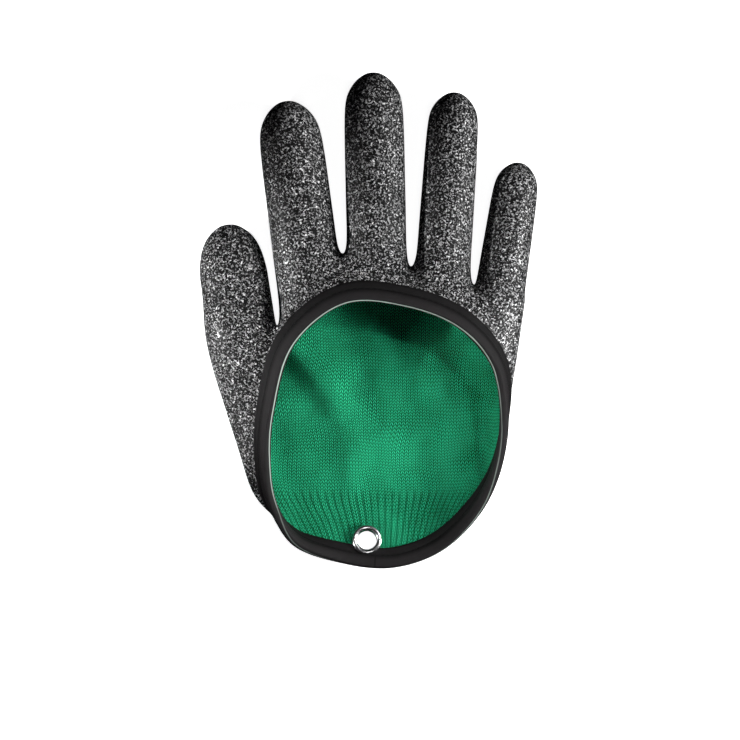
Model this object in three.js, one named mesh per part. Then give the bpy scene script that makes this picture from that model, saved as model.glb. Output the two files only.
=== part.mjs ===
// Right-hand fish-handling glove with an open back, lying palm down.
// Millimetres, +Z up, +Y towards the fingertips, +X towards the little finger.
// The origin is on the flat of the palm, at the level that the glove lies on.
import * as THREE from 'three';

// Driving dimensions of the opening over the back of the hand
const openingWidth = 107.4;
const openingLength = 119;
const crownHeight = 35;

// Driving dimensions of the fingers
const middleLength = 82.5;
const middleWidth = 26.6;
const rootHeight = 28.8;
const tipHeight = 22.8;
const webDepth = 5;
const tipReach = 1.4;

// Layers of the glove and the space between pieces
const shellWall = 1;
const linerWall = 1;
const gap = 0.3;

// Tape folded over the edge of the opening
const tapeWidth = 8.4;
const tapeThickness = 0.7;

// Eyelet through the palm by the wrist
const holeDiameter = 8.7;
const flangeDiameter = 13.2;
const flangeRise = 1.1;
const eyeletSheet = 0.4;
const eyeletAside = -7.9;
const eyeletFromFold = 11;
const wristSlope = 16;
const seatHeight = 5.6;

// Depths below the outer skin at which each layer starts
const linerDepth = shellWall + gap;
const clothDepth = linerDepth + linerWall;

// The opening's edge, station by station, clockwise from above. x, y and z are shares of the
// opening's width, its length and the crown's height. slope is the way that the glove leaves
// the edge: 0 is level and outward, 90 straight down, 180 level and inward.
const edgeStations = [
  { spoke: 0, x: -0.470, y: 0.076, z: 0.743, slope: 44 },
  { spoke: 4, x: -0.377, y: 0.325, z: 0.886, slope: 24 },
  { spoke: 8, x: -0.163, y: 0.474, z: 0.986, slope: 17 },
  { spoke: 12, x: 0.088, y: 0.462, z: 1.000, slope: 17 },
  { spoke: 16, x: 0.304, y: 0.385, z: 0.943, slope: 23 },
  { spoke: 20, x: 0.454, y: 0.237, z: 0.829, slope: 50 },
  { spoke: 22, x: 0.495, y: 0.034, z: 0.743, slope: 86 },
  { spoke: 24, x: 0.468, y: -0.148, z: 0.614, slope: 104 },
  { spoke: 26, x: 0.388, y: -0.305, z: 0.443, slope: 134 },
  { spoke: 28, x: 0.232, y: -0.444, z: 0.291, slope: 156 },
  { spoke: 30, x: 0.035, y: -0.506, z: 0.257, slope: 164 },
  { spoke: 32, x: -0.172, y: -0.490, z: 0.240, slope: 164 },
  { spoke: 34, x: -0.379, y: -0.420, z: 0.371, slope: 122 },
  { spoke: 36, x: -0.470, y: -0.265, z: 0.543, slope: 72 },
  { spoke: 38, x: -0.490, y: -0.092, z: 0.657, slope: 56 },
];

// The palm's wall where it stands out most, and where its foot meets the floor, in the same shares
const wallStations = [
  { spoke: 22, x: 0.490, y: 0.042, z: 0.371, footX: 0.428, footY: 0.034 },
  { spoke: 24, x: 0.460, y: -0.141, z: 0.300, footX: 0.377, footY: -0.118 },
  { spoke: 26, x: 0.343, y: -0.261, z: 0.200, footX: 0.270, footY: -0.210 },
  { spoke: 28, x: 0.163, y: -0.328, z: 0.091, footX: 0.135, footY: -0.252 },
  { spoke: 30, x: 0.030, y: -0.324, z: 0.069, footX: 0.024, footY: -0.244 },
  { spoke: 32, x: -0.140, y: -0.324, z: 0.069, footX: -0.112, footY: -0.244 },
  { spoke: 34, x: -0.338, y: -0.355, z: 0.110, footX: -0.256, footY: -0.282 },
  { spoke: 36, x: -0.522, y: -0.262, z: 0.257, footX: -0.414, footY: -0.218 },
  { spoke: 38, x: -0.598, y: -0.084, z: 0.300, footX: -0.489, footY: -0.067 },
];

// The webs between the fingers, and the outer sides of the thumb and little finger. back is the
// share of the web's depth by which its top and bottom lie behind its middle.
const webs = [
  { x: -0.745, y: 0.330, top: 0.600, middle: 0.343, bottom: 0.086, back: 1.1 },
  { x: -0.442, y: 0.388, top: 0.670, middle: 0.371, bottom: 0.071, back: 0.26 },
  { x: -0.172, y: 0.655, top: 0.720, middle: 0.357, bottom: 0.071, back: 1 },
  { x: 0.106, y: 0.607, top: 0.720, middle: 0.357, bottom: 0.071, back: 1 },
  { x: 0.366, y: 0.540, top: 0.680, middle: 0.343, bottom: 0.071, back: 1 },
  { x: 0.574, y: 0.465, top: 0.600, middle: 0.329, bottom: 0.086, back: 0.9 },
];

// Thumb to little finger. length, root, tip and high are shares of the middle finger's length,
// width and heights. tilt is in degrees towards the little finger, and knuckle is a share of
// the crown's height.
const fingers = [
  { length: 0.583, tilt: -6.8, root: 1.220, tip: 1.120, high: 0.96, knuckle: 0.743 },
  { length: 1.013, tilt: -7.4, root: 1.100, tip: 1.050, high: 0.99, knuckle: 0.857 },
  { length: 1.000, tilt: -1.2, root: 1.000, tip: 0.980, high: 1.00, knuckle: 0.886 },
  { length: 0.979, tilt: 4.0, root: 0.925, tip: 0.850, high: 0.94, knuckle: 0.857 },
  { length: 0.712, tilt: 8.8, root: 0.840, tip: 0.750, high: 0.86, knuckle: 0.771 },
];

// The flat of the palm, in shares of the opening's width and length
const palmFlat = { left: -0.24, right: 0.24, front: 0.29, back: -0.16 };

// The five rows of a web: the end that each lies towards, how far, and its share of the pull back
const webRowShares = [
  { end: 'top', share: 1, pull: 1 },
  { end: 'top', share: 0.65, pull: 0.31 },
  { end: 'middle', share: 0, pull: 0 },
  { end: 'bottom', share: 0.65, pull: 0.31 },
  { end: 'bottom', share: 1, pull: 1 },
];

// The palm's wall below the tape: where its rows lie on a curve of five points, and how far in
// the last of them is, as a share of the foot's distance from the middle of the palm
const wallShares = [1 / 3, 5 / 12, 0.5, 0.625, 0.75];
const pastFoot = 0.7;

// The net of the outer skin: spokes round the opening, and rows from its edge to the palm
const spokeCount = 40;
const fingerSpokes = 4;
const patchSide = spokeCount / 4;
const patchCorner = 5;
const rimRow = 0;
const tapeRow = 2;
const topRow = 3;
const wallRow = 5;
const footRow = 7;
const lastRow = 9;
const halfWay = 0.5;
const eyeletSpokes = [30, 32];
const eyeletRows = [1, 5];

// A finger's tube: its rings, the turns of its round tip, the turn of a ring's first corner, and
// the height of its middle as a share of half its height, which presses its underside flat
const ringSteps = 4 * fingerSpokes;
const shaftRings = [0.06, 0.24, 0.46];
const tipTurns = [0, 30, 55, 75];
const firstTurn = 135;
const settledMiddle = 0.97;

const radians = THREE.MathUtils.degToRad;
const mix = THREE.MathUtils.lerp;

function inPlace(x, y, z) {
  return new THREE.Vector3(x * openingWidth, y * openingLength, z * crownHeight);
}

// A smooth value between stations, by spoke, from a curve through one point for each station
function along(spokesOfPoints, points, closed) {
  const curve = new THREE.CatmullRomCurve3(points, closed);
  const ends = closed ? [...spokesOfPoints, spokesOfPoints[0] + spokeCount] : spokesOfPoints;
  return (spoke) => {
    const after = ends.findIndex((end) => end > spoke);
    const before = (after < 0 ? ends.length : after) - 1;
    const step = before < ends.length - 1 ? (spoke - ends[before]) / (ends[before + 1] - ends[before]) : 0;
    return curve.getPoint((before + step) / (closed ? points.length : points.length - 1));
  };
}

const edgeSpokes = edgeStations.map((station) => station.spoke);
const edgeAt = along(edgeSpokes, edgeStations.map(({ x, y, z }) => inPlace(x, y, z)), true);
const slopeAt = along(edgeSpokes, edgeStations.map(({ slope }) => new THREE.Vector3(slope, 0, 0)), true);

// The eyelet's centre on the outer skin, and its axis, square to the wrist's slope
const wristEdge = Math.min(...edgeStations.map(({ y }) => y)) * openingLength;
const eyeletCentre = new THREE.Vector3(eyeletAside, wristEdge + eyeletFromFold, seatHeight);
const eyeletAxis = new THREE.Vector3(0, Math.sin(radians(wristSlope)), Math.cos(radians(wristSlope)));

function ontoSeat(point) {
  const rise = (eyeletCentre.y - point.y) * Math.tan(radians(wristSlope));
  return new THREE.Vector3(point.x, point.y, seatHeight + rise);
}

// Unit vector in the skin, square to the edge, from the edge into the glove's wall
function leaving(spoke) {
  const run = edgeAt((spoke + 0.2) % spokeCount).sub(edgeAt((spoke + spokeCount - 0.2) % spokeCount));
  const outward = new THREE.Vector3(-run.y, run.x, 0).normalize();
  const slope = radians(slopeAt(spoke).x);
  return outward.multiplyScalar(Math.cos(slope)).add(new THREE.Vector3(0, 0, -Math.sin(slope)));
}

// The five rows of a web, from its top through the crotch to its underside
function webRows(web, spoke) {
  const crotch = inPlace(web.x, web.y, web.middle);
  const toRim = edgeAt(spoke).sub(crotch).setZ(0).normalize().multiplyScalar(web.back * webDepth);
  return webRowShares.map(({ end, share, pull }) => {
    const height = mix(web.middle, web[end], share) * crownHeight;
    return crotch.clone().addScaledVector(toRim, pull).setZ(height);
  });
}

const webColumns = webs.map((web, index) => webRows(web, index * fingerSpokes));

// The wall's fullest points and feet, on from the little finger's side round to the thumb's
const firstWallSpoke = (webs.length - 1) * fingerSpokes;
const wallSpokes = [firstWallSpoke, ...wallStations.map(({ spoke }) => spoke), spokeCount];
const wallEnds = [webColumns[webs.length - 1], webColumns[0]];
const wallAt = along(wallSpokes, [
  wallEnds[0][wallRow - topRow],
  ...wallStations.map(({ x, y, z }) => inPlace(x, y, z)),
  wallEnds[1][wallRow - topRow],
], false);
const footAt = along(wallSpokes, [
  wallEnds[0][footRow - topRow],
  ...wallStations.map(({ footX, footY }) => inPlace(footX, footY, 0)),
  wallEnds[1][footRow - topRow],
], false);

// Points over the top or the underside of a finger's root, between the corners of its webs
function rootPoint(finger, step, row) {
  const left = webColumns[finger][row - topRow];
  const right = webColumns[finger + 1][row - topRow];
  const turn = radians(firstTurn - step * 360 / ringSteps);
  const corner = Math.SQRT1_2;
  const across = 0.5 + Math.cos(turn) / corner / 2;
  const swell = (Math.sin(turn) - corner) / (1 - corner);
  const height = row === topRow ? fingers[finger].knuckle * crownHeight : 0;
  const point = left.clone().lerp(right, across);
  return point.setZ(mix(point.z, height, swell));
}

// Places in the palm's flat rectangle, and round its edge by spoke
function palmPoint(across, down) {
  return inPlace(mix(palmFlat.left, palmFlat.right, across), mix(palmFlat.front, palmFlat.back, down), 0);
}

function palmEdge(spoke) {
  const turn = (spoke + spokeCount - patchCorner) % spokeCount;
  const side = Math.floor(turn / patchSide);
  const share = (turn % patchSide) / patchSide;
  const places = [[share, 0], [1, share], [1 - share, 1], [0, 1 - share]];
  return palmPoint(...places[side]);
}

// Whether a point of the net, or a face by its first corner, lies in the eyelet's block of faces
function inBlock(spoke, row, margin) {
  const pastFirst = spoke >= eyeletSpokes[0] + margin && row >= eyeletRows[0] + margin;
  return pastFirst && spoke < eyeletSpokes[1] && row < eyeletRows[1];
}

// All rows of one spoke, or undefined where a finger leaves the palm
function spokeRows(spoke) {
  const start = edgeAt(spoke);
  const inward = leaving(spoke);
  const rows = [0, tapeWidth / 2, tapeWidth].map((far) => start.clone().addScaledVector(inward, far));
  const finger = Math.floor(spoke / fingerSpokes);
  const step = spoke % fingerSpokes;
  if (finger < webs.length && step === 0) {
    rows.push(...webColumns[finger]);
  } else if (finger < fingers.length) {
    rows[topRow] = rootPoint(finger, step, topRow);
    rows[footRow] = rootPoint(finger, step, footRow);
  } else {
    const wall = wallAt(spoke);
    const foot = footAt(spoke);
    const inside = foot.clone().multiplyScalar(pastFoot);
    const profile = new THREE.CatmullRomCurve3([rows[1], rows[tapeRow], wall, foot, inside]);
    rows.push(...wallShares.map((share) => profile.getPoint(share)));
  }
  const foot = rows[footRow];
  const palm = palmEdge(spoke);
  rows[lastRow] = palm;
  rows[lastRow - 1] = foot.clone().lerp(palm, halfWay).setZ(foot.z * halfWay ** 2);
  const bySeat = spoke >= eyeletSpokes[0] && spoke <= eyeletSpokes[1];
  return rows.map((point, row) => (bySeat && row <= eyeletRows[1] ? ontoSeat(point) : point));
}

// The cage of the outer skin: its points, and faces whose corners run anticlockwise from outside
const points = [];
const faces = [];

function addPoint(point) {
  points.push(point.clone().setZ(Math.max(point.z, 0)));
  return points.length - 1;
}

const net = [];
for (let spoke = 0; spoke < spokeCount; spoke += 1) {
  const kept = (point, row) => (point && !inBlock(spoke, row, 1) ? addPoint(point) : undefined);
  net.push(Array.from(spokeRows(spoke), kept));
}

const netAt = (spoke, row) => net[spoke % spokeCount][row];

for (let spoke = 0; spoke < spokeCount; spoke += 1) {
  for (let row = 0; row < lastRow; row += 1) {
    const inFinger = spoke < fingers.length * fingerSpokes && row >= topRow && row < footRow;
    if (!inFinger && !inBlock(spoke, row, 0)) {
      const corners = [[spoke, row], [spoke + 1, row], [spoke + 1, row + 1], [spoke, row + 1]];
      faces.push(corners.map((corner) => netAt(...corner)));
    }
  }
}

// The flat of the palm, a rectangle of the net inside its last row
function addPalm() {
  const rim = (spoke) => netAt(patchCorner + spoke, lastRow);
  const patch = [];
  for (let down = 0; down <= patchSide; down += 1) {
    patch.push([]);
    for (let across = 0; across <= patchSide; across += 1) {
      let index;
      if (down === 0) {
        index = rim(across);
      } else if (down === patchSide) {
        index = rim(3 * patchSide - across);
      } else if (across === 0) {
        index = rim(spokeCount - down);
      } else if (across === patchSide) {
        index = rim(patchSide + down);
      } else {
        index = addPoint(palmPoint(across / patchSide, down / patchSide));
      }
      patch[down].push(index);
    }
  }
  for (let down = 0; down < patchSide; down += 1) {
    for (let across = 0; across < patchSide; across += 1) {
      const [here, next] = [patch[down], patch[down + 1]];
      faces.push([here[across], here[across + 1], next[across + 1], next[across]]);
    }
  }
}

// The ring of the net at a finger's root
function rootRing(finger) {
  const first = finger * fingerSpokes;
  const last = first + fingerSpokes;
  const ring = [];
  for (let step = 0; step < fingerSpokes; step += 1) {
    ring[step] = netAt(first + step, topRow);
    ring[step + fingerSpokes] = netAt(last, topRow + step);
    ring[step + 2 * fingerSpokes] = netAt(last - step, footRow);
    ring[step + 3 * fingerSpokes] = netAt(first, footRow - step);
  }
  return ring;
}

// A finger's tube from its root ring to its tip
function addFinger(finger) {
  const shape = fingers[finger];
  const left = webColumns[finger][wallRow - topRow];
  const right = webColumns[finger + 1][wallRow - topRow];
  const base = left.clone().lerp(right, 0.5).setZ(0);
  const tilt = radians(shape.tilt);
  const ahead = new THREE.Vector3(Math.sin(tilt), Math.cos(tilt), 0);
  const aside = new THREE.Vector3(Math.cos(tilt), -Math.sin(tilt), 0);
  const length = shape.length * middleLength;
  const slant = right.clone().sub(left).dot(ahead) / 2;
  const rootHalf = shape.root * middleWidth / 2;
  const tipHalf = shape.tip * middleWidth / 2;
  const reach = tipHalf * tipReach;
  const straight = length - reach;
  const rings = shaftRings.map((share) => ({ far: share * length, narrow: 1 }));
  for (const turn of tipTurns) {
    rings.push({ far: straight + reach * Math.sin(radians(turn)), narrow: Math.cos(radians(turn)) });
  }
  let previous = rootRing(finger);
  for (const { far, narrow } of rings) {
    const share = Math.min(far / straight, 1);
    const half = mix(rootHalf, tipHalf, share) * narrow;
    const full = mix(rootHeight, tipHeight, share) * shape.high / 2;
    const leftover = slant * Math.max(0, 1 - 2 * far / length);
    const ring = [];
    for (let step = 0; step < ringSteps; step += 1) {
      const turn = radians(firstTurn - step * 360 / ringSteps);
      const point = base.clone().addScaledVector(ahead, far + leftover * Math.cos(turn));
      point.addScaledVector(aside, half * Math.cos(turn));
      ring.push(addPoint(point.setZ(full * (settledMiddle + narrow * Math.sin(turn)))));
    }
    for (let step = 0; step < ringSteps; step += 1) {
      const next = (step + 1) % ringSteps;
      faces.push([previous[step], previous[next], ring[next], ring[step]]);
    }
    previous = ring;
  }
  const end = base.clone().addScaledVector(ahead, length);
  end.setZ(tipHeight * shape.high * settledMiddle / 2);
  const pole = addPoint(end);
  for (let step = 0; step < ringSteps; step += 1) {
    faces.push([previous[step], previous[(step + 1) % ringSteps], pole]);
  }
}

// The round hole for the eyelet, in the flat seat on the wrist's slope
const barrelRadius = holeDiameter / 2 + eyeletSheet;
const clothHoleRadius = barrelRadius + gap;
const notchRadius = clothHoleRadius * 1.2;

function addEyeletHole() {
  const [first, last] = eyeletSpokes;
  const [near, far] = eyeletRows;
  const middle = (first + last) / 2;
  const round = [netAt(middle, near)];
  for (let row = near; row <= far; row += 1) {
    round.push(netAt(last, row));
  }
  round.push(netAt(middle, far));
  for (let row = far; row >= near; row -= 1) {
    round.push(netAt(first, row));
  }
  const slopeWay = new THREE.Vector3(1, 0, 0).cross(eyeletAxis).negate();
  const hole = round.map((_, step) => {
    const turn = radians(step * 360 / round.length);
    const point = eyeletCentre.clone().addScaledVector(slopeWay, -clothHoleRadius * Math.cos(turn));
    return addPoint(point.setX(eyeletAside - clothHoleRadius * Math.sin(turn)));
  });
  for (let step = 0; step < round.length; step += 1) {
    const next = (step + 1) % round.length;
    faces.push([round[step], round[next], hole[next], hole[step]]);
  }
}

addPalm();
fingers.forEach((_, finger) => addFinger(finger));
addEyeletHole();

const triangles = faces.flatMap(([a, b, c, d]) => (d === undefined ? [[a, b, c]] : [[a, b, c], [a, c, d]]));

// Outward normal at each point, from the triangles round it weighted by their angles
function pointNormals() {
  const normals = points.map(() => new THREE.Vector3());
  for (const triangle of triangles) {
    triangle.forEach((corner, index) => {
      const to = points[triangle[(index + 1) % 3]].clone().sub(points[corner]);
      const from = points[triangle[(index + 2) % 3]].clone().sub(points[corner]);
      normals[corner].addScaledVector(to.clone().cross(from).normalize(), to.angleTo(from));
    });
  }
  return normals.map((normal) => normal.normalize());
}

const normals = pointNormals();
const sunk = (index, depth) => points[index].clone().addScaledVector(normals[index], -depth);

function solidOf(corners, triangleList) {
  const geometry = new THREE.BufferGeometry();
  const places = corners.flatMap((point) => point.toArray());
  geometry.setAttribute('position', new THREE.Float32BufferAttribute(places, 3));
  geometry.setIndex(triangleList.flat());
  geometry.computeVertexNormals();
  return geometry;
}

// One layer of the glove between two depths, closed along the opening's edge and the eyelet's hole
function layer(outerDepth, innerDepth) {
  const count = points.length;
  const corners = [outerDepth, innerDepth].flatMap((depth) => points.map((_, index) => sunk(index, depth)));
  const shared = new Set(triangles.flatMap(([a, b, c]) => [`${a} ${b}`, `${b} ${c}`, `${c} ${a}`]));
  const list = triangles.flatMap(([a, b, c]) => [[a, b, c], [c + count, b + count, a + count]]);
  for (const [a, b, c] of triangles) {
    for (const [from, to] of [[a, b], [b, c], [c, a]]) {
      if (!shared.has(`${to} ${from}`)) {
        list.push([to, from, from + count], [to, from + count, to + count]);
      }
    }
  }
  return solidOf(corners, list);
}

// The tape: two leaves and the fold between them, round the whole edge of the opening. The
// shoulders of the fold are shares of the way to its middle and of its reach past the edge.
const foldShoulder = { down: 0.3, past: 0.8 };

function tape() {
  const outerFace = -gap - tapeThickness;
  const innerFace = clothDepth + gap + tapeThickness;
  const middle = clothDepth / 2;
  const fold = gap + tapeThickness;
  const section = [
    { row: 2, depth: outerFace, past: 0 },
    { row: 1, depth: outerFace, past: 0 },
    { row: 0, depth: outerFace, past: 0 },
    { row: 0, depth: mix(outerFace, middle, foldShoulder.down), past: fold * foldShoulder.past },
    { row: 0, depth: middle, past: fold },
    { row: 0, depth: mix(innerFace, middle, foldShoulder.down), past: fold * foldShoulder.past },
    { row: 0, depth: innerFace, past: 0 },
    { row: 1, depth: innerFace, past: 0 },
    { row: 2, depth: innerFace, past: 0 },
    { row: 2, depth: clothDepth + gap, past: 0 },
    { row: 1, depth: clothDepth + gap, past: 0 },
    { row: 0, depth: clothDepth + gap, past: gap },
    { row: 0, depth: -gap, past: gap },
    { row: 1, depth: -gap, past: 0 },
    { row: 2, depth: -gap, past: 0 },
  ];
  const corners = [];
  for (let spoke = 0; spoke < spokeCount; spoke += 1) {
    const start = netAt(spoke, rimRow);
    const inward = leaving(spoke);
    for (const { row, depth, past } of section) {
      const known = netAt(spoke, row);
      const clear = Math.min(tapeWidth, points[start].distanceTo(eyeletCentre) - notchRadius);
      const notched = points[start].clone().addScaledVector(inward, clear);
      const place = known === undefined ? notched : points[known];
      const normal = known === undefined ? eyeletAxis.clone().negate() : normals[known];
      corners.push(place.clone().addScaledVector(normal, -depth).addScaledVector(inward, -past));
    }
  }
  const count = section.length;
  const list = [];
  for (let spoke = 0; spoke < spokeCount; spoke += 1) {
    for (let step = 0; step < count; step += 1) {
      const here = spoke * count;
      const next = ((spoke + 1) % spokeCount) * count;
      const after = (step + 1) % count;
      if (section[after].row < section[step].row) {
        list.push([here + step, here + after, next + step], [here + after, next + after, next + step]);
      } else {
        list.push([here + step, here + after, next + after], [here + step, next + after, next + step]);
      }
    }
  }
  return solidOf(corners, list);
}

// Eyelet and washer, turned round the eyelet's axis. Heights are measured up from the outer skin.
const turnSegments = 24;
const flangeFoot = clothDepth + 2 * gap + tapeThickness;
const washerTop = -2 * gap - tapeThickness;
const washerThickness = 0.7;
const lipTop = washerTop - washerThickness - gap;
const lipReach = 0.6;

// The flange's face, from its rim to the bore, in shares of its width and rise
const flangeFace = [
  { out: 1, up: 0 },
  { out: 1, up: 0.35 },
  { out: 0.85, up: 0.8 },
  { out: 0.5, up: 1 },
  { out: 0.25, up: 0.75 },
  { out: 0, up: 0.3 },
];

function turned(profile) {
  const closed = [...profile, profile[0]].map(([radius, height]) => new THREE.Vector2(radius, height));
  return new THREE.LatheGeometry(closed, turnSegments);
}

function eyeletShape() {
  const bore = holeDiameter / 2;
  const flange = flangeDiameter / 2;
  const lip = mix(barrelRadius, flange, lipReach);
  return turned([
    [bore, lipTop - eyeletSheet],
    [lip, lipTop - eyeletSheet],
    [lip, lipTop],
    [barrelRadius, lipTop],
    [barrelRadius, flangeFoot],
    ...flangeFace.map(({ out, up }) => [mix(bore, flange, out), flangeFoot + flangeRise * up]),
  ]);
}

function washerShape() {
  return turned([
    [clothHoleRadius, washerTop - washerThickness],
    [flangeDiameter / 2, washerTop - washerThickness],
    [flangeDiameter / 2, washerTop],
    [clothHoleRadius, washerTop],
  ]);
}

const glove = new THREE.Group();

const rubber = new THREE.MeshStandardMaterial({ color: 0x1a1a1c, roughness: 0.45 });
const knit = new THREE.MeshStandardMaterial({ color: 0x12a468, roughness: 0.85 });
const cotton = new THREE.MeshStandardMaterial({ color: 0x343034, roughness: 0.8 });
const nickel = new THREE.MeshStandardMaterial({ color: 0xc8cacc, roughness: 0.2, metalness: 1 });

function addPiece(name, geometry, material) {
  const piece = new THREE.Mesh(geometry, material);
  piece.name = name;
  glove.add(piece);
  return piece;
}

// A piece turned round the eyelet's axis
function addTurned(name, geometry) {
  const piece = addPiece(name, geometry, nickel);
  piece.position.copy(eyeletCentre);
  piece.quaternion.setFromUnitVectors(new THREE.Vector3(0, 1, 0), eyeletAxis);
}

addPiece('coated_shell', layer(0, shellWall), rubber);
addPiece('knit_liner', layer(linerDepth, clothDepth), knit);
addPiece('edge_binding', tape(), cotton);
addTurned('eyelet', eyeletShape());
addTurned('eyelet_washer', washerShape());

export default glove;
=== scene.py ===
# %% [markdown]
# # A fish-handling glove
#
# The glove lies palm down with its open back towards us. Its frame comes from model.glb: five plain
# solids in metres, +Y to the fingertips, +X to the little finger and +Z up. This lesson dresses
# each of them: crinkled rubber, knitted liner, folded tape with its stitches, and a metal eyelet.

# %% Load the frame
import math

import bmesh
import bpy
from mathutils import Matrix, Vector


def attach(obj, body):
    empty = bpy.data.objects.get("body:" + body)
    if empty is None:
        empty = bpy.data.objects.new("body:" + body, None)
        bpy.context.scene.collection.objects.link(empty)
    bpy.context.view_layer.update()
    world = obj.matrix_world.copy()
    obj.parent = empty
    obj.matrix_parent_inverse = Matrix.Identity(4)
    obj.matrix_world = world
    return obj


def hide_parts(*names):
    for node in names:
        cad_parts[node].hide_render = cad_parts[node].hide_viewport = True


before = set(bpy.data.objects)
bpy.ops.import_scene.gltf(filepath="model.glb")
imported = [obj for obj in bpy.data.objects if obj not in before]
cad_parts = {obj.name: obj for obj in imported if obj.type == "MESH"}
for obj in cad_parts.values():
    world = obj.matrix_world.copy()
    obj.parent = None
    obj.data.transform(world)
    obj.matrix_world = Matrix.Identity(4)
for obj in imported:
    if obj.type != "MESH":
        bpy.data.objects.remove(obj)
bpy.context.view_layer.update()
MM = 0.001
FULL_TURN = 2 * math.pi
print("frame nodes:", sorted(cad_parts))

# %% [markdown]
# ## A short way to write materials
#
# A finish is a tree of nodes. It could be made by adding each node and each link by hand, but then
# a single sum needs three lines, which hides the idea. A small class that wraps a socket and knows
# plus, minus and times keeps each pattern readable.

# %% Wires
class Wire:
    """A socket of a finish. Sums on it add Math nodes."""

    def __init__(self, finish, socket):
        self.finish = finish
        self.socket = socket

    def __add__(self, other):
        return self.finish.maths("ADD", self, other)

    def __sub__(self, other):
        return self.finish.maths("SUBTRACT", self, other)

    def __rsub__(self, other):
        return self.finish.maths("SUBTRACT", other, self)

    def __mul__(self, other):
        return self.finish.maths("MULTIPLY", self, other)

    def __truediv__(self, other):
        return self.finish.maths("DIVIDE", self, other)

    def __pow__(self, other):
        return self.finish.maths("POWER", self, other)

    def __abs__(self):
        return self.finish.maths("ABSOLUTE", self)

    __radd__ = __add__
    __rmul__ = __mul__


# %% [markdown]
# The finish itself makes every node with one method. The patterns are noises and waves over a
# place in millimetres, so their sizes are those of the real cloth. That place is either the one on
# the object or the one on a map of the piece, which follows the cloth where it bends.

# %% Finishes
# The sockets of a Mix node for colours, whose names others share
MIX_SHARE, MIX_FIRST, MIX_SECOND, MIXED = 0, 6, 7, 2


class Finish:
    """A material whose nodes are written as expressions."""

    def __init__(self, name, **constants):
        self.material = bpy.data.materials.new(name)
        self.material.use_nodes = True
        self.tree = self.material.node_tree
        self.shader = self.tree.nodes["Principled BSDF"]
        self.look(**constants)

    def look(self, **values):
        """Feeds sockets of the shader, which are written with _ for each space."""
        for socket, value in values.items():
            self.feed(self.shader.inputs[socket.replace("_", " ")], value)

    def feed(self, socket, value):
        if isinstance(value, Wire):
            self.tree.links.new(value.socket, socket)
        else:
            socket.default_value = value

    def node(self, kind, settings=(), inputs=(), output=0):
        made = self.tree.nodes.new(kind)
        for name, value in dict(settings).items():
            setattr(made, name, value)
        for name, value in dict(inputs).items():
            self.feed(made.inputs[name], value)
        return Wire(self, made.outputs[output])

    def maths(self, operation, *values):
        return self.node("ShaderNodeMath", {"operation": operation}, dict(enumerate(values)))

    def between(self, value, low, high):
        """0 at low, 1 at high and smooth in between."""
        inputs = {"Value": value, "From Min": low, "From Max": high}
        return self.node("ShaderNodeMapRange", {"interpolation_type": "SMOOTHSTEP"}, inputs)

    def blend(self, share, first, second):
        """Mixes two colours: all of the first at a share of 0, all of the second at 1."""
        inputs = {MIX_SHARE: share, MIX_FIRST: first, MIX_SECOND: second}
        return self.node("ShaderNodeMix", {"data_type": "RGBA"}, inputs, output=MIXED)

    def grain(self, place, scale, detail=2.0, distortion=0.0):
        """A cloudy noise from 0 to 1, with scale grains to a millimetre."""
        inputs = {"Vector": place, "Scale": scale, "Detail": detail, "Distortion": distortion}
        return self.node("ShaderNodeTexNoise", {}, inputs)

    def part_of(self, place, axis):
        return self.node("ShaderNodeSeparateXYZ", {}, {"Vector": place}, output=axis)

    def in_mm(self, place):
        inputs = {"Vector": place, "Scale": 1 / MM}
        return self.node("ShaderNodeVectorMath", {"operation": "SCALE"}, inputs)

    def object_mm(self):
        """The place on the object, in millimetres."""
        return self.in_mm(self.node("ShaderNodeTexCoord", output="Object"))

    def map_mm(self, name):
        """The place on one of the piece's own maps, in millimetres: whole, first and second part."""
        place = self.in_mm(self.node("ShaderNodeUVMap", {"uv_map": name}))
        return place, self.part_of(place, 0), self.part_of(place, 1)

    def relief(self, height, depth):
        """Raises the surface by height times depth, in metres."""
        self.look(Normal=self.node("ShaderNodeBump", {}, {"Height": height, "Distance": depth}))


# %% [markdown]
# ## Pieces that start from the frame
#
# The coat and the liner are soft cloth over a hand's form. They could be sculpted or drawn again
# by eye, but the frame's solids already have the true form, as loose triangles. So a copy of one
# is merged, and its triangles are joined back into the four-sided faces that they came from.

# %% Helpers for pieces
SAME_PLACE = 1e-6
JOINED_ANGLE = 1.2


def add_piece(name, data, finish, nodes=()):
    """Makes an object of mesh data and registers it with the frame."""
    piece = bpy.data.objects.new(name, data)
    bpy.context.collection.objects.link(piece)
    data.materials.append(finish.material)
    data.shade_smooth()
    if nodes:
        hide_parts(*nodes)
    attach(piece, "root")
    print(name, "faces:", len(data.polygons))
    return piece


def as_data(name, mesh):
    data = bpy.data.meshes.new(name)
    mesh.to_mesh(data)
    mesh.free()
    return data


def merged_copy(node):
    """A bmesh of a frame node with its doubles merged and its triangles joined."""
    mesh = bmesh.new()
    mesh.from_mesh(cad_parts[node].data)
    bmesh.ops.remove_doubles(mesh, verts=mesh.verts, dist=SAME_PLACE)
    limits = {"angle_face_threshold": JOINED_ANGLE, "angle_shape_threshold": JOINED_ANGLE}
    bmesh.ops.join_triangles(mesh, faces=mesh.faces, **limits)
    return mesh


# %% [markdown]
# A subdivision surface rounds that cage, and pulls it in a little where it curves. To keep the
# glove's size, the cage's corners first move out by most of what the rounding takes from them.

# %% Rounding a cage
ROUNDING = 2
FITTING = 0.95


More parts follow.
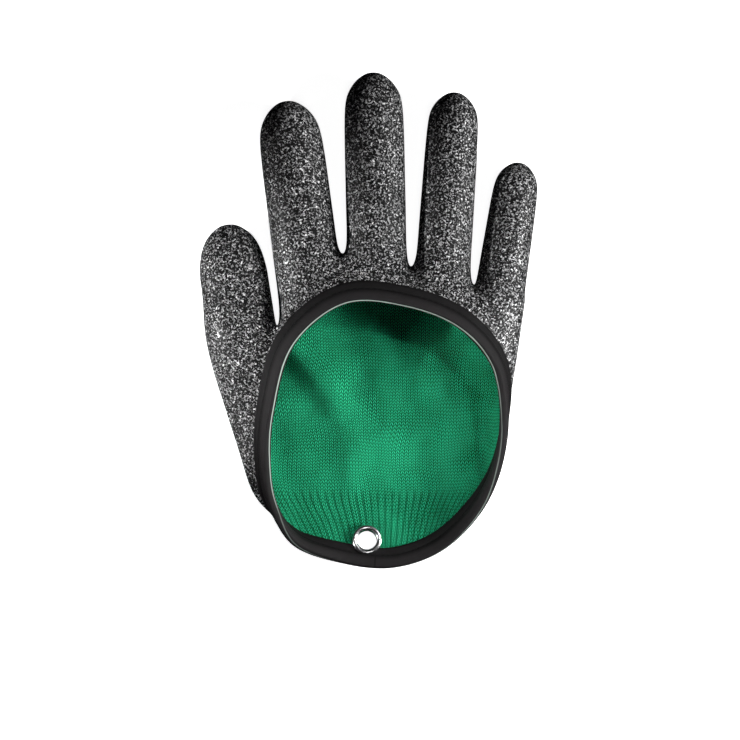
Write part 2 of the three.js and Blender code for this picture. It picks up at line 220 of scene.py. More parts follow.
def rounded(name, mesh):
    """Mesh data of the cage, rounded and almost as large as before."""
    cage = bpy.data.objects.new(name, as_data(name, mesh))
    bpy.context.collection.objects.link(cage)
    modifier = cage.modifiers.new("round", "SUBSURF")
    modifier.levels = modifier.render_levels = ROUNDING
    shrunk = cage.evaluated_get(bpy.context.evaluated_depsgraph_get()).data
    pairs = zip(cage.data.vertices, shrunk.vertices)
    steps = [(vert.co - after.co) * FITTING for vert, after in pairs]
    for vert, step in zip(cage.data.vertices, steps):
        vert.co += step
    cage.data.update()
    fitted = cage.evaluated_get(bpy.context.evaluated_depsgraph_get())
    data = bpy.data.meshes.new_from_object(fitted)
    bpy.data.objects.remove(cage)
    return data


# %% [markdown]
# ## The rubber coat
#
# The coat is latex that wrinkled as it cured. Up close it is a field of short worm-like ridges a
# millimetre long, each with its own glint over near-black rubber. Ridges that fine would take
# millions of faces, so they are a bump. Their glints come partly from a clear coat on the crests
# and partly from painted highlight: the crests are painted pale in the base colour. A coarser noise,
# the sparkle, makes whole tufts of crests brighter, in painted highlight and in coat, while those
# beside them stay dark.

# %% Crinkled rubber
CRINKLE_DEPTH = 0.1 * MM
RUBBER_BLACK = (0.002, 0.002, 0.0022, 1)
# The pale colour of the painted highlights on the crests
PAINTED_GLINT_WHITE = (0.95, 0.95, 0.96, 1)
GLINT_EVERYWHERE = 0.22
GLINT_IN_PATCHES = 0.13
GLINT_IN_SPARKLES = 0.65

rubber = Finish("crinkled_rubber", Specular_IOR_Level=0.12, Coat_Roughness=0.3)
place = rubber.object_mm()


def worms(scale, thinness):
    """Short ridges along the contours of a noise: 1 on the crest."""
    level = rubber.grain(place, scale, detail=1.0, distortion=0.8)
    return rubber.between(1 - abs(level - 0.5) * thinness, 0.0, 0.9)


gaps = rubber.between(rubber.grain(place, 1.1, detail=1.0), 0.42, 0.58)
long_worms = worms(scale=0.54, thinness=11)
short_worms = worms(scale=0.7, thinness=13)
crest = rubber.maths("MAXIMUM", long_worms, short_worms) * gaps
patchy = rubber.between(rubber.grain(place, 0.08), 0.3, 0.7)
sparkle = rubber.between(rubber.grain(place, 0.7), 0.50, 0.64)
brightness = GLINT_EVERYWHERE + patchy * GLINT_IN_PATCHES + sparkle * GLINT_IN_SPARKLES
glint = crest ** 2.0 * brightness
# Painted highlight: the crests' glints are painted pale into the base colour, over the real coat
pale = rubber.blend(glint, RUBBER_BLACK, PAINTED_GLINT_WHITE)
rubber.look(Base_Color=pale, Coat_Weight=glint, Roughness=0.5 - glint * 0.2)
rubber.relief(crest + rubber.grain(place, 2.4) * 0.25, CRINKLE_DEPTH)
print("rubber nodes:", len(rubber.tree.nodes))

# %% [markdown]
# Where the thumb leaves the palm, the dipped cloth runs over in one soft curve, and the frame's
# solid has a corner there. Moulding it by hand would part the coat from the liner under it, so
# both cloths are smoothed by the same rounds within the same circle.

# %% Coat piece
THUMB_ROOT = Vector((-79, 40)) * MM
SOFTENED = 24 * MM
SOFTENING_ROUNDS = 2
SOFTENING = 0.5


def softened_copy(node):
    """A merged copy whose corner at the thumb's root is smoothed."""
    mesh = merged_copy(node)
    corner = [vert for vert in mesh.verts if (vert.co.xy - THUMB_ROOT).length < SOFTENED]
    for _ in range(SOFTENING_ROUNDS):
        bmesh.ops.smooth_vert(mesh, verts=corner, factor=SOFTENING, use_axis_x=True, use_axis_y=True)
    return mesh


coat_data = rounded("shell_rubber", softened_copy("coated_shell"))
add_piece("shell_rubber", coat_data, rubber, ["coated_shell"])

# %% [markdown]
# ## The knitted liner
#
# The liner is fine plain knit: columns of small V-shaped loops that run up the hand, and a ribbed
# cuff at the wrist whose ribs draw together towards the edge. Looped yarn as geometry would take
# hundreds of thousands of tubes, so the loops are waves in a finish: a bump, with painted highlight
# on the loops and painted shade in the hollows between loops and in the cuff's furrows. The pattern
# follows the cloth and not the room, so the piece gets its own map: across the hand and then up the
# side walls, and along the hand.

# %% Green knit
# The loops' width and height, the ribs' width, and where the cuff ends, in millimetres
WALE = 1.7
COURSE = 1.4
RIB = 3.6
CUFF_TOP = -26.0
DRAWN_IN = 0.007
ARM_RISE = 1.2
KNIT_DEPTH = 0.6 * MM
YARN_PAINTED_SHADE = (0.0, 0.03, 0.011, 1)
YARN_PAINTED_HIGHLIGHT = (0.055, 1.0, 0.48, 1)

knit = Finish("green_knit", Specular_IOR_Level=0.05, Roughness=0.9)
cloth, across, along = knit.map_mm("cloth")


def wander(scale, reach):
    """How far the loose cloth pulls its own columns or rows aside, in millimetres."""
    return (knit.grain(cloth, scale, detail=1.0) - 0.5) * reach


column = knit.maths("FRACT", (across + wander(0.035, reach=9)) / WALE)
arm = abs(column - 0.5) * 2
row = (along + wander(0.05, reach=5)) / COURSE + arm * ARM_RISE
yarn = knit.maths("COSINE", row * FULL_TURN) * 0.5 + 0.5
# Both arms of a loop sink where they pass behind the next column and where they meet
stitch = yarn * (1 - arm ** 4 * 0.9) * (1 - (1 - arm) ** 4 * 0.6)
cuff = 1 - knit.between(along, CUFF_TOP - 4, CUFF_TOP + 1)
drawn = across * (1 - (along - CUFF_TOP) * DRAWN_IN)
furrow = abs(knit.maths("SINE", drawn * (math.pi / RIB)))
open_rib = 1 - cuff * (1 - knit.between(furrow, 0.0, 0.7))
tone = knit.between(knit.grain(cloth, 0.045, detail=3.0), 0.3, 0.7)
# Painted light and shade: loop tops painted light, hollows and cuff furrows painted dark; tone is the
# yarn's own
shade = (stitch ** 2.8 * 0.92 + tone * 0.08) * (0.35 + open_rib * 0.65)
knit.look(Base_Color=knit.blend(shade, YARN_PAINTED_SHADE, YARN_PAINTED_HIGHLIGHT))
knit.relief(stitch + open_rib * 1.2, KNIT_DEPTH)
print("knit nodes:", len(knit.tree.nodes))

# %% [markdown]
# ## How the liner lies
#
# The liner is loose. Over the palm it lies in shallow lengthwise waves, and between the thumb's
# hole and the palm it is pushed up to a fold that runs down from the web. A cloth simulation could
# find such folds, though hardly these ones. So they are moved into the mesh, where they shade and
# shadow the cloth, and fade towards the sewn edges.

# %% Folds and waves
FLOOR_TOP = 14 * MM
FOLD_START = Vector((-44, 42)) * MM
FOLD_END = Vector((-19, 6)) * MM
FOLD_HEIGHT = 9 * MM
FOLD_WIDTHS = {"thumb": 6.5 * MM, "palm": 14 * MM}
FOLD_RISES = (-0.3, 0.05)
FOLD_FALLS = (0.35, 1.15)
WAVE_HEIGHT = 0.9 * MM
WAVE_LENGTH = 23 * MM
WAVE_SLANT = 0.25
WAVES_START = (-40 * MM, -15 * MM)


def ease(value, low, high):
    """0 at low, 1 at high and smooth in between."""
    share = max(0.0, min(1.0, (value - low) / (high - low)))
    return share * share * (3 - 2 * share)


def lift(place):
    """How far the loose liner stands off the palm here."""
    line = FOLD_END - FOLD_START
    away = place.xy - FOLD_START
    share = away.dot(line) / line.length_squared
    side = line.normalized().cross(away)
    width = FOLD_WIDTHS["palm"] if side > 0 else FOLD_WIDTHS["thumb"]
    ends = ease(share, *FOLD_RISES) * (1 - ease(share, *FOLD_FALLS))
    fold = FOLD_HEIGHT * ends * math.exp(-(side / width) ** 2)
    phase = (place.x + place.y * WAVE_SLANT) / WAVE_LENGTH
    wave = WAVE_HEIGHT * (1 + math.sin(phase * FULL_TURN)) * ease(place.y, *WAVES_START)
    return (fold + wave) * (1 - ease(place.z, FLOOR_TOP / 2, FLOOR_TOP))


halfway = (FOLD_START + FOLD_END).to_3d() / 2
print(f"lift halfway down the fold: {lift(halfway) / MM:.1f} mm")

# %% Liner piece
FLAT_HALF = 30 * MM


def lay_cloth_map(data):
    """Unrolls the liner: x and the climb of the side walls across, y along."""
    layer = data.uv_layers.new(name="cloth")
    for corner in data.loops:
        place = data.vertices[corner.vertex_index].co
        side = max(-1.0, min(1.0, place.x / FLAT_HALF))
        layer.data[corner.index].uv = (place.x + side * place.z, place.y)


liner_data = rounded("liner_knit", softened_copy("knit_liner"))
lay_cloth_map(liner_data)
for vert in liner_data.vertices:
    vert.co.z += lift(vert.co)
add_piece("liner_knit", liner_data, knit, ["knit_liner"])

# %% [markdown]
# ## The edge of the opening
#
# The tape, its fold line and its stitches all follow one closed line, the edge of the opening.
# Its stations are the glove's own: shares of the opening's width and length and the crown's
# height, and the angle at which the wall leaves the edge. Two of them lie at the wrist, on the
# slope that carries the eyelet.

# %% Edge stations
OPENING_WIDTH = 107.4 * MM
OPENING_LENGTH = 119 * MM
CROWN_HEIGHT = 35 * MM
EDGE_STATIONS = [
    {"x": -0.470, "y": 0.076, "z": 0.743, "slope": 44},
    {"x": -0.377, "y": 0.325, "z": 0.886, "slope": 24},
    {"x": -0.163, "y": 0.474, "z": 0.986, "slope": 17},
    {"x": 0.088, "y": 0.462, "z": 1.000, "slope": 17},
    {"x": 0.304, "y": 0.385, "z": 0.943, "slope": 23},
    {"x": 0.454, "y": 0.237, "z": 0.829, "slope": 50},
    {"x": 0.495, "y": 0.034, "z": 0.743, "slope": 86},
    {"x": 0.468, "y": -0.148, "z": 0.614, "slope": 104},
    {"x": 0.388, "y": -0.305, "z": 0.443, "slope": 134},
    {"x": 0.232, "y": -0.444, "z": 0.291, "slope": 156},
    {"x": 0.035, "y": -0.506, "z": 0.257, "slope": 164},
    {"x": -0.172, "y": -0.490, "z": 0.240, "slope": 164},
    {"x": -0.379, "y": -0.420, "z": 0.371, "slope": 122},
    {"x": -0.470, "y": -0.265, "z": 0.543, "slope": 72},
    {"x": -0.490, "y": -0.092, "z": 0.657, "slope": 56},
]
SEAT_STATIONS = (10, 11)
WRIST_SLOPE = math.radians(16)
EYELET_X = -7.9 * MM
EYELET_FROM_EDGE = 11 * MM
SEAT_HEIGHT = 5.6 * MM

wrist_y = min(station["y"] for station in EDGE_STATIONS) * OPENING_LENGTH
EYELET_CENTRE = Vector((EYELET_X, wrist_y + EYELET_FROM_EDGE, SEAT_HEIGHT))


def station_point(index):
    station = EDGE_STATIONS[index % len(EDGE_STATIONS)]
    x = station["x"] * OPENING_WIDTH
    y = station["y"] * OPENING_LENGTH
    z = station["z"] * CROWN_HEIGHT
    if index % len(EDGE_STATIONS) in SEAT_STATIONS:
        z = SEAT_HEIGHT + (EYELET_CENTRE.y - y) * math.tan(WRIST_SLOPE)
    return Vector((x, y, z))


print("stations:", len(EDGE_STATIONS))

# %% [markdown]
# A smooth curve runs through the stations. Blender's own curves could draw it, but the tape and
# the stitches also need the wall's slope at each step, so a few lines of the usual formula for a
# curve through points give both at once.

# %% Edge curve
def smooth_between(values, gaps, share):
    """A centripetal Catmull-Rom curve between the middle two of four values."""
    before, start, end, after = values
    first, span, last = gaps
    leave = ((start - before) / first - (end - before) / (first + span) + (end - start) / span) * span
    arrive = ((end - start) / span - (after - start) / (span + last) + (after - end) / last) * span
    cubic = start * 2 - end * 2 + leave + arrive
    square = end * 3 - start * 3 - leave * 2 - arrive
    return ((cubic * share + square) * share + leave) * share + start


def edge_at(turn):
    """(point, slope) of the edge at a turn that counts stations."""
    index = math.floor(turn)
    share = turn - index
    near = [station_point(index + step) for step in (-1, 0, 1, 2)]
    gaps = [math.sqrt((there - here).length) for here, there in zip(near, near[1:])]
    slopes = [EDGE_STATIONS[(index + step) % len(EDGE_STATIONS)]["slope"] for step in (-1, 0, 1, 2)]
    return smooth_between(near, gaps, share), smooth_between(slopes, (1, 1, 1), share)


# %% Frames along the edge
FINE_STEPS = 1200
NEAR = 2
EDGE_STEPS = 360


def edge_frames(count):
    """count even steps round the edge, and its length. Each step has its point, the run along
    the edge, the way into the wall, the outward normal and the wall's slope in degrees."""
    fine = [edge_at(step * len(EDGE_STATIONS) / FINE_STEPS) for step in range(FINE_STEPS + 1)]
    lengths = [0.0]
    for (here, _), (there, _) in zip(fine, fine[1:]):
        lengths.append(lengths[-1] + (there - here).length)
    frames = []
    at = 0
    for step in range(count):
        goal = lengths[-1] * step / count
        while lengths[at + 1] < goal:
            at += 1
        share = (goal - lengths[at]) / (lengths[at + 1] - lengths[at])
        point = fine[at][0].lerp(fine[at + 1][0], share)
        slope = fine[at][1] + (fine[at + 1][1] - fine[at][1]) * share
        ahead = fine[(at + 1 + NEAR) % FINE_STEPS][0]
        run = (ahead - fine[(at - NEAR) % FINE_STEPS][0]).normalized()
        outward = Vector((-run.y, run.x, 0)).normalized()
        down = Vector((0, 0, -math.sin(math.radians(slope))))
        inward = outward * math.cos(math.radians(slope)) + down
        normal = run.cross(inward).normalized()
        frames.append({"point": point, "run": run, "inward": inward, "normal": normal})
        frames[-1]["slope"] = slope
    return frames, lengths[-1]


edge, edge_length = edge_frames(EDGE_STEPS)
print(f"edge of the opening: {edge_length / MM:.0f} mm round")

# %% [markdown]
# ## The folded tape
#
# A woven tape is folded over the raw edge and sewn through, so it shows two leaves, a rounded
# fold that catches the light and a shallow groove where the stitches pull it in. Its ends meet at
# a joint close to the eyelet. The weave could be modelled thread by thread, though its threads are
# finer than a pixel, so it is two crossed waves on the tape's own map. Over the weave the colour
# holds painted light: the puffed part of each leaf is painted lighter, the stitch groove is painted
# near-black as painted shade, and a pale painted highlight runs along the fold. A second map says
# how far each place is from that painted highlight.

# %% Tape finish
# Depth of the cloth in the fold, the tape's own, and the room between them
CLOTH_DEPTH = 2.3 * MM
TAPE = 0.5 * MM
CLEAR = 0.15 * MM
FOLD_RADIUS = CLOTH_DEPTH / 2 + CLEAR + TAPE
STITCH_LINE = 4.5 * MM
JOINT_X = -4.4 * MM
WARP_PITCH = 0.9
WARP_SLANT = 0.4
WEFT_PITCH = 0.6
WEAVE_DEPTH = 0.08 * MM
TAPE_SHADE = (0.002, 0.0018, 0.002, 1)
TAPE_LIGHT = (0.013, 0.012, 0.0125, 1)
GROOVE_SHADE_AND_JOINT_BLACK = (0.0015, 0.0015, 0.0015, 1)
PAINTED_FOLD_HIGHLIGHT = (0.50, 0.60, 0.54, 1)

lower_half = [index for index in range(EDGE_STEPS) if edge[index]["point"].y < 0]
joint = min(lower_half, key=lambda index: abs(edge[index]["point"].x - JOINT_X)) / EDGE_STEPS

tape_cloth = Finish("woven_tape", Specular_IOR_Level=0.09)
cloth, along_tape, across_tape = tape_cloth.map_mm("cloth")
_, shine_strength, from_shine = tape_cloth.map_mm("shine")
warp_place = along_tape + across_tape * WARP_SLANT
warp = tape_cloth.maths("SINE", warp_place * (FULL_TURN / WARP_PITCH))
weft = tape_cloth.maths("SINE", across_tape * (FULL_TURN / WEFT_PITCH))
weave = warp * weft * 0.5 + 0.5
from_fold = abs(across_tape) - FOLD_RADIUS / MM
from_joint = abs(along_tape - joint * edge_length / MM)
# Painted shade: the stitch groove is painted near-black; the joint between the tape's ends is a dark
# joint line
sewn_line = 1 - tape_cloth.between(abs(from_fold - STITCH_LINE / MM), 0.15, 0.45)
joint_line = 1 - tape_cloth.between(from_joint, 0.15, 0.4)
groove = tape_cloth.maths("MAXIMUM", sewn_line, joint_line)
# Painted highlight: the puffed part of each leaf, between stitches and fold, is painted lighter
puffed = tape_cloth.between(from_fold, STITCH_LINE / MM, 1.5)
rubbed = tape_cloth.grain(cloth, 0.2, detail=3.0)
# The weave and the rubbed noise are the tape's own tone; the puffed share is painted light
lit = weave * 0.15 + rubbed * 0.25 + puffed * 0.6
base = tape_cloth.blend(lit, TAPE_SHADE, TAPE_LIGHT)
sewn = tape_cloth.blend(groove, base, GROOVE_SHADE_AND_JOINT_BLACK)
# Painted highlight: a pale line along the fold, placed where the fold catches the light
shine = 1 - tape_cloth.between(abs(from_shine), 0.5, 1.1)
with_fold_highlight = tape_cloth.blend(shine * shine_strength, sewn, PAINTED_FOLD_HIGHLIGHT)
tape_cloth.look(Base_Color=with_fold_highlight, Roughness=0.7 - weave * 0.15)
tape_cloth.relief(weave, WEAVE_DEPTH)
print("tape nodes:", len(tape_cloth.tree.nodes))

# %% [markdown]
# The tape could be a flat strip bent by modifiers. It is built as rings that follow the edge, one
# for each step across its section, since the section then keeps the puffed leaves, the dent of
# the stitches and the round fold exactly, however the wall's slope turns.

# %% Tape section
TAPE_WIDTH = 8.0 * MM
FOLD_REACH = 1.0 * MM
PUFF = 0.3 * MM
DENT = 0.2 * MM
DENT_WIDTH = 0.35 * MM
END_TUCK = 0.3 * MM
LEAF_PLACES = [1.0, 0.98, 0.85, 0.70, 0.60, 0.565, 0.536, 0.507, 0.47, 0.36, 0.22, 0.08, 0.0]
FOLD_TURNS = range(-80, 81, 16)
INSIDE_PLACES = (1.0, 0.5, 0.0)


def leaf_height(share):
    """How far a leaf's face stands out at a share of its width from the fold."""
    if share == 1.0:
        return -END_TUCK
    inward = share * TAPE_WIDTH
    swell = PUFF * math.sin(math.pi * min(inward / STITCH_LINE, 1))
    return swell - DENT * math.exp(-((inward - STITCH_LINE) / DENT_WIDTH) ** 2)


def tape_section():
    """Rings across the tape: distance in from the edge, depth under the skin, place on the map."""
    middle = CLOTH_DEPTH / 2
    leaves = [(share * TAPE_WIDTH, FOLD_RADIUS + leaf_height(share)) for share in LEAF_PLACES]
    outer = [(inward, middle - height, -inward - FOLD_RADIUS) for inward, height in leaves]
    inner = [(inward, middle + height, inward + FOLD_RADIUS) for inward, height in leaves]
    fold = []
    for turn in FOLD_TURNS:
        down = FOLD_RADIUS * math.sin(math.radians(turn))
        fold.append((-FOLD_REACH * math.cos(math.radians(turn)), middle + down, down))
    inside = []
    for side, places in ((1, INSIDE_PLACES), (-1, INSIDE_PLACES[::-1])):
        depth = middle + side * (middle + CLEAR)
        inside += [(share * TAPE_WIDTH, depth, side * share * TAPE_WIDTH) for share in places]
    return outer + fold + inner[::-1] + inside


section = tape_section()
print("rings of the tape:", len(section))

# %% [markdown]
# At the wrist the tape runs close to the eyelet, and its leaves would cross the eyelet's hole,
# which is clear on the real glove. Cutting the hole with a boolean would leave long thin faces. So
# each ring past the stitches is drawn back as far as a round notch under the metal needs.

# %% Tape rings
NOTCH_RADIUS = 5.3 * MM
NOTCH_FROM = 4.75 * MM


def leaf_end(step):
    """How far in the leaves reach: their width, or less where they'd cross the eyelet's hole."""
    away = EYELET_CENTRE - step["point"]
    along_leaf = away.dot(step["inward"])
    aside = math.sqrt(max(away.length_squared - along_leaf ** 2, 0))
    if along_leaf < 0 or aside >= NOTCH_RADIUS:
        return TAPE_WIDTH
    return min(TAPE_WIDTH, along_leaf - math.sqrt(NOTCH_RADIUS ** 2 - aside ** 2))


def add_ring(mesh, inward, depth):
    """A closed ring of the edge, moved into the wall and under the skin."""
    ring = bmesh.ops.create_circle(mesh, segments=len(edge), radius=1.0)["verts"]
    for vert, step in zip(ring, edge):
        reach = inward
        if inward > NOTCH_FROM:
            kept = (leaf_end(step) - NOTCH_FROM) / (TAPE_WIDTH - NOTCH_FROM)
            reach = NOTCH_FROM + (inward - NOTCH_FROM) * kept
        vert.co = step["point"] + step["inward"] * reach - step["normal"] * depth
    return ring


def edges_of(ring):
    members = set(ring)
    return [side for vert in ring for side in vert.link_edges if side.other_vert(vert) in members]


tape_mesh = bmesh.new()
rings = [add_ring(tape_mesh, inward, depth) for inward, depth, _ in section]
ring_edges = [edges_of(ring) for ring in rings]
for here, there in zip(ring_edges, ring_edges[1:] + ring_edges[:1]):
    bmesh.ops.bridge_loops(tape_mesh, edges=list(set(here + there)))
bmesh.ops.recalc_face_normals(tape_mesh, faces=tape_mesh.faces)
print(f"shortest leaf: {min(leaf_end(step) for step in edge) / MM:.1f} mm")

# %% [markdown]
# The painted highlight lies on the fold where the fold catches the light most, and that depends on
# how the wall slopes. It could be painted on a picture, but a table by slope, laid on the second
# map, stays sharp from close by.

# %% Painted fold highlight
# By the wall's slope in degrees: the line's place and half width in millimetres, and its strength
FOLD_HIGHLIGHT_LINE = [
    {"slope": 0, "place": -0.9, "half": 0.45, "strength": 0.6},
    {"slope": 30, "place": -0.8, "half": 0.42, "strength": 0.6},
    {"slope": 60, "place": 0.8, "half": 0.35, "strength": 0.45},
    {"slope": 85, "place": 1.0, "half": 0.30, "strength": 0.12},
    {"slope": 125, "place": 0.1, "half": 0.35, "strength": 0.2},
    {"slope": 180, "place": -0.1, "half": 0.50, "strength": 0.35},
]


def fold_highlight_line(slope):
    """The painted fold highlight's place, half width and strength at a slope of the wall."""
    after = next(row for row in FOLD_HIGHLIGHT_LINE if row["slope"] > slope)
    before = FOLD_HIGHLIGHT_LINE[FOLD_HIGHLIGHT_LINE.index(after) - 1]
    share = (slope - before["slope"]) / (after["slope"] - before["slope"])
    names = ("place", "half", "strength")
    return [before[name] + (after[name] - before[name]) * share for name in names]


slopes = [step["slope"] for step in edge]
print(f"slopes of the wall: {min(slopes):.0f} to {max(slopes):.0f} degrees")

# %% [markdown]
# Both maps are laid corner by corner. Where the tape meets its own start, the length goes on past
# a whole round, so that no face spans the map backwards. The strength is stored like a length,
# since the finish reads both maps in millimetres.

# %% Tape piece
def places_on_maps():
    """For each vertex, its place along and across the tape, and the line's strength and distance."""
    places = {}
    for ring, (_, _, across) in zip(rings, section):
        for index, (vert, step) in enumerate(zip(ring, edge)):
            line_place, half, strength = fold_highlight_line(step["slope"])
            from_line = (across - line_place * MM) / half
            places[vert] = (edge_length * index / EDGE_STEPS, across, strength * MM, from_line)
    return places


def lay_tape_maps(mesh, places):
    cloth_layer = mesh.loops.layers.uv.new("cloth")
    shine_layer = mesh.loops.layers.uv.new("shine")
    for face in mesh.faces:
        lengths = [places[corner.vert][0] for corner in face.loops]
        wraps = max(lengths) - min(lengths) > edge_length / 2
        for corner in face.loops:
            length, across, strength, from_line = places[corner.vert]
            if wraps and length < edge_length / 2:
                length += edge_length
            corner[cloth_layer].uv = (length, across)
            corner[shine_layer].uv = (strength, from_line)


lay_tape_maps(tape_mesh, places_on_maps())
tape_data = as_data("tape_folded", tape_mesh)
add_piece("tape_folded", tape_data, tape_cloth, ["edge_binding"])

# %% [markdown]
# ## The stitches
#
# A row of lockstitches holds both leaves. Each is a short thread that comes out of the tape and
# goes back in. A bump in the tape's finish could hint at them, but close by they stand on the
# cloth, so each is a stretched small sphere, laid in the groove and repeated all round.

# %% Stitches
STITCH_PITCH = 2.6 * MM
STITCH_SIZE = Matrix.Diagonal((1.0 * MM, 0.16 * MM, 0.1 * MM, 1))
TWIST = 14
THREAD_SHADE = (0.002, 0.002, 0.002, 1)
THREAD_LIGHT = (0.008, 0.008, 0.008, 1)

thread = Finish("dark_thread", Roughness=0.7, Specular_IOR_Level=0.1)
ply = thread.maths("SINE", thread.part_of(thread.object_mm(), 0) * TWIST) * 0.5 + 0.5
thread.look(Base_Color=thread.blend(ply, THREAD_SHADE, THREAD_LIGHT))

stitch_mesh = bmesh.new()
stitch_frames, _ = edge_frames(round(edge_length / STITCH_PITCH))
for step in stitch_frames:
    turned = Matrix((step["run"], step["inward"], step["normal"])).transposed().to_4x4()
    for side in (-1, 1):
        depth = CLOTH_DEPTH / 2 + side * (FOLD_RADIUS - DENT)
        centre = step["point"] + step["inward"] * STITCH_LINE - step["normal"] * depth
        laid = Matrix.Translation(centre) @ turned @ STITCH_SIZE
        bmesh.ops.create_icosphere(stitch_mesh, subdivisions=1, radius=1.0, matrix=laid)
add_piece("tape_stitches", as_data("tape_stitches", stitch_mesh), thread)
print("stitches:", 2 * len(stitch_frames))

# %% [markdown]
# ## The eyelet
#
# The eyelet is two turned parts of bright metal, a domed ring with a barrel and a washer. The
# frame has them with few sides. A profile spun round the axis gives both as smooth rings, and
# their places and radii are measured on the frame's own nodes. The finish is scuffed by a noise.

# %% Bright nickel
NICKEL_WORN = (0.78, 0.78, 0.79, 1)
NICKEL = (0.90, 0.90, 0.91, 1)

metal = Finish("bright_nickel", Metallic=1.0)
scuff = metal.grain(metal.object_mm(), 1.5, detail=4.0)
metal.look(Base_Color=metal.blend(scuff, NICKEL_WORN, NICKEL), Roughness=0.12 + scuff * 0.14)
print("metal nodes:", len(metal.tree.nodes))

# %% Turned parts
AXIS = Vector((0, math.sin(WRIST_SLOPE), math.cos(WRIST_SLOPE)))
LEVELLED = math.radians(7)
SPIN_STEPS = 72
SHARP = math.radians(50)


def measured(node):
    """A node's centre, its lowest and highest place on the axis, and its least and most radius."""
    verts = [Vector(vert.co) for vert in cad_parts[node].data.vertices]
    centre = sum(verts, Vector()) / len(verts)
    heights = [(vert - centre).dot(AXIS) for vert in verts]
    radii = [(vert - centre - AXIS * height).length for vert, height in zip(verts, heights)]
    return centre, min(heights), max(heights), min(radii), max(radii)


def spun(profile, centre):
    """A closed profile of (radius, height) spun round the eyelet's axis, which is almost upright."""
    mesh = bmesh.new()
    verts = [mesh.verts.new((radius, 0, height)) for radius, height in profile]
    edges = [mesh.edges.new(pair) for pair in zip(verts, verts[1:] + verts[:1])]
    upright = {"cent": (0, 0, 0), "axis": (0, 0, 1)}
    turn = {"angle": FULL_TURN, "steps": SPIN_STEPS, "use_merge": True}
    bmesh.ops.spin(mesh, geom=verts + edges, **upright, **turn)
    bmesh.ops.remove_doubles(mesh, verts=mesh.verts, dist=SAME_PLACE)
    bmesh.ops.recalc_face_normals(mesh, faces=mesh.faces)
    tilt = Matrix.Rotation(LEVELLED - WRIST_SLOPE, 4, "X")
    bmesh.ops.transform(mesh, matrix=Matrix.Translation(centre) @ tilt, verts=mesh.verts)
    return as_data("spun", mesh)


def add_turned(name, profile, centre, node):
    """A metal piece of a spun profile that keeps its sharp edges."""
    piece = add_piece(name, spun(profile, centre), metal, [node])
    piece.data.set_sharp_from_angle(angle=SHARP)
    radii = [radius for radius, _ in profile]
    print(f"{name}: {2 * min(radii) / MM:.1f} mm hole, {2 * max(radii) / MM:.1f} mm across")


# %% [markdown]
# The ring's profile goes over the half-round dome, down inside the barrel, out over the rolled
# lip on the other side and back up. The washer is a flat ring with its lower outer edge broken.

# %% Eyelet and washer
SHEET = 0.4 * MM
FLANGE_RISE = 1.1 * MM
LIP_FLARE = 0.6 * MM
LIP_SHARE = 0.88
DOME_TURNS = range(0, 181, 15)
BROKEN_EDGE = 0.2 * MM

centre, low, high, bore, rim = measured("eyelet")
flange_foot = high - FLANGE_RISE
dome_foot = flange_foot + SHEET / 2
dome_reach = (rim - bore) / 2
dome = []
for turn in DOME_TURNS:
    angle = math.radians(turn)
    radius = bore + dome_reach + dome_reach * math.cos(angle)
    dome.append((radius, dome_foot + (high - dome_foot) * math.sin(angle)))
barrel = bore + SHEET
lip_end = rim * LIP_SHARE
lip_under = [(bore + LIP_FLARE, low), (lip_end, low)]
lip_over = [(lip_end, low + SHEET), (barrel + LIP_FLARE, low + SHEET)]
ring_profile = [(rim, flange_foot)] + dome + lip_under + lip_over + [(barrel, flange_foot)]
add_turned("eyelet_ring", ring_profile, centre, "eyelet")

centre, low, high, bore, rim = measured("eyelet_washer")
lower_edge = [(bore, low), (rim - BROKEN_EDGE, low), (rim, low + BROKEN_EDGE)]
washer_profile = lower_edge + [(rim, high), (bore, high)]
add_turned("eyelet_back_ring", washer_profile, centre, "eyelet_washer")

# %% [markdown]
# ## Floor, camera and light
#
# The glove is shown on plain pale paper. Lit by lamps alone, the paper would need so much light
# that the rubber turned grey. So the paper glows by itself, which also keeps shadows faint, and it
# is hidden from bounced and mirrored light.

# %% Floor
FLOOR_HALF = 3.0
FLOOR_DROP = 0.0002

floor_mesh = bmesh.new()
bmesh.ops.create_grid(floor_mesh, x_segments=1, y_segments=1, size=FLOOR_HALF)
floor_data = as_data("floor", floor_mesh)
floor = bpy.data.objects.new("floor", floor_data)
floor.location.z = -FLOOR_DROP
bpy.context.collection.objects.link(floor)
floor.visible_diffuse = False
floor.visible_glossy = False
paper = Finish("pale_paper", Roughness=0.9, Base_Color=(0.93, 0.93, 0.93, 1))
paper.look(Emission_Color=(1, 1, 1, 1), Emission_Strength=0.93)
floor_data.materials.append(paper.material)
print("floor:", 2 * FLOOR_HALF, "m wide")

# %% [markdown]
# The camera looks straight down. From close by, the fingers would be spread by perspective, so it
# stands far off with a long lens.

# %% Camera
VIEW_WIDTH = 325.6 * MM
VIEW_CENTRE = Vector((-6.6, 26.4, 15)) * MM
CAMERA_DISTANCE = 1.8
SENSOR_WIDTH = 36

camera_data = bpy.data.cameras.new("camera")
camera_data.sensor_width = SENSOR_WIDTH
camera_data.lens = SENSOR_WIDTH * CAMERA_DISTANCE / VIEW_WIDTH
camera = bpy.data.objects.new("camera", camera_data)
camera.location = VIEW_CENTRE + Vector((0, 0, CAMERA_DISTANCE))
bpy.context.collection.objects.link(camera)
bpy.context.scene.camera = camera
print(f"lens: {camera_data.lens:.0f} mm")

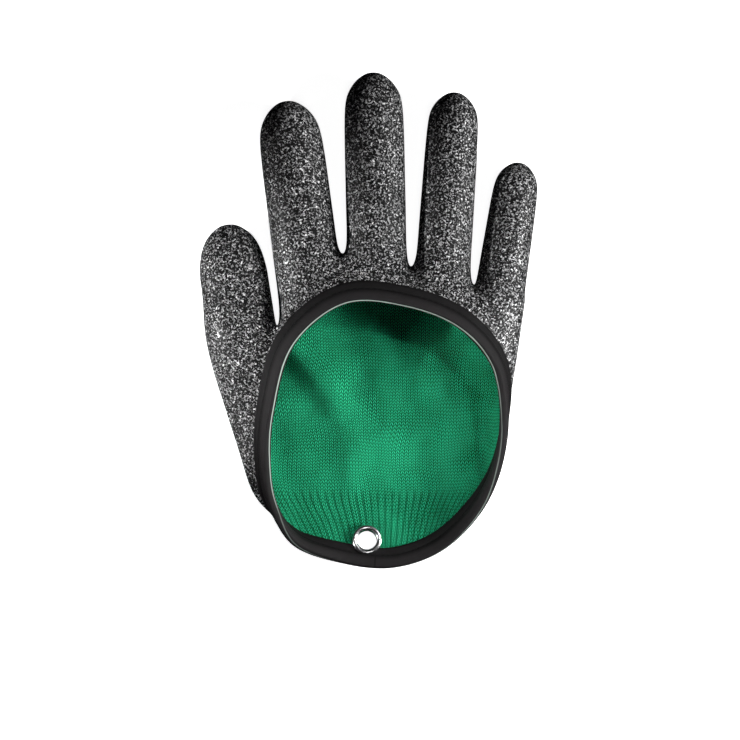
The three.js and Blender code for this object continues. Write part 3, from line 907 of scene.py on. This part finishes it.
# %% [markdown]
# A soft box from the right draws the glints on the rubber, and a weak one from above opens the
# shadows. Three narrow spots light what the box can't reach: the thumb, the knit in the opening,
# and the opening's right wall. One large light could replace them, but it would lay the same grey
# over every finger, where the picture has one bright and one dark side.

# %% Lights
BOX = {"shape": "RECTANGLE", "size": 0.3, "size_y": 0.5}
FINGERS = (0.01, 0.08, 0.01)
THUMB = (-0.082, 0.048, 0.012)
OPENING = (0, -0.016, 0.01)
RIGHT_WALL = (0.045, -0.004, 0.015)
SPOTS = [
    ("thumb_light", (-1.15, -0.15, 0.45), THUMB, 125, {"cone": 6.4, "blend": 0.6, "soft": 0.03}),
    ("opening_light", (0.65, 0.50, 1.40), OPENING, 112, {"cone": 4.4, "blend": 0.4, "soft": 0.05}),
    ("wall_light", (-1.1, -0.14, 0.60), RIGHT_WALL, 110, {"cone": 4.6, "blend": 0.8, "soft": 0.04}),
]
ROOM_LIGHT = 0.01


def lamp(kind, name, place, target, power, **settings):
    """A light at a place, in metres, that looks at a target. Its power is in watts."""
    data = bpy.data.lights.new(name, kind)
    data.energy = power
    for setting, value in settings.items():
        setattr(data, setting, value)
    light = bpy.data.objects.new(name, data)
    light.location = place
    light.rotation_euler = (Vector(target) - Vector(place)).to_track_quat("-Z", "Y").to_euler()
    bpy.context.collection.objects.link(light)


lamp("AREA", "box_right", (1.30, -0.10, 0.66), FINGERS, 43, **BOX)
lamp("AREA", "box_above", (0.1, -0.35, 1.7), FINGERS, 2, **BOX)
for name, place, target, power, beam in SPOTS:
    cone = {"spot_size": math.radians(beam["cone"]), "spot_blend": beam["blend"]}
    lamp("SPOT", name, place, target, power, shadow_soft_size=beam["soft"], **cone)
print("lights:", len(bpy.data.lights))

# %% Room
world = bpy.data.worlds.new("studio")
world.use_nodes = True
background = world.node_tree.nodes["Background"]
background.inputs["Color"].default_value = (1, 1, 1, 1)
background.inputs["Strength"].default_value = ROOM_LIGHT
bpy.context.scene.world = world
bpy.context.scene.view_settings.view_transform = "Standard"
print("world:", world.name)
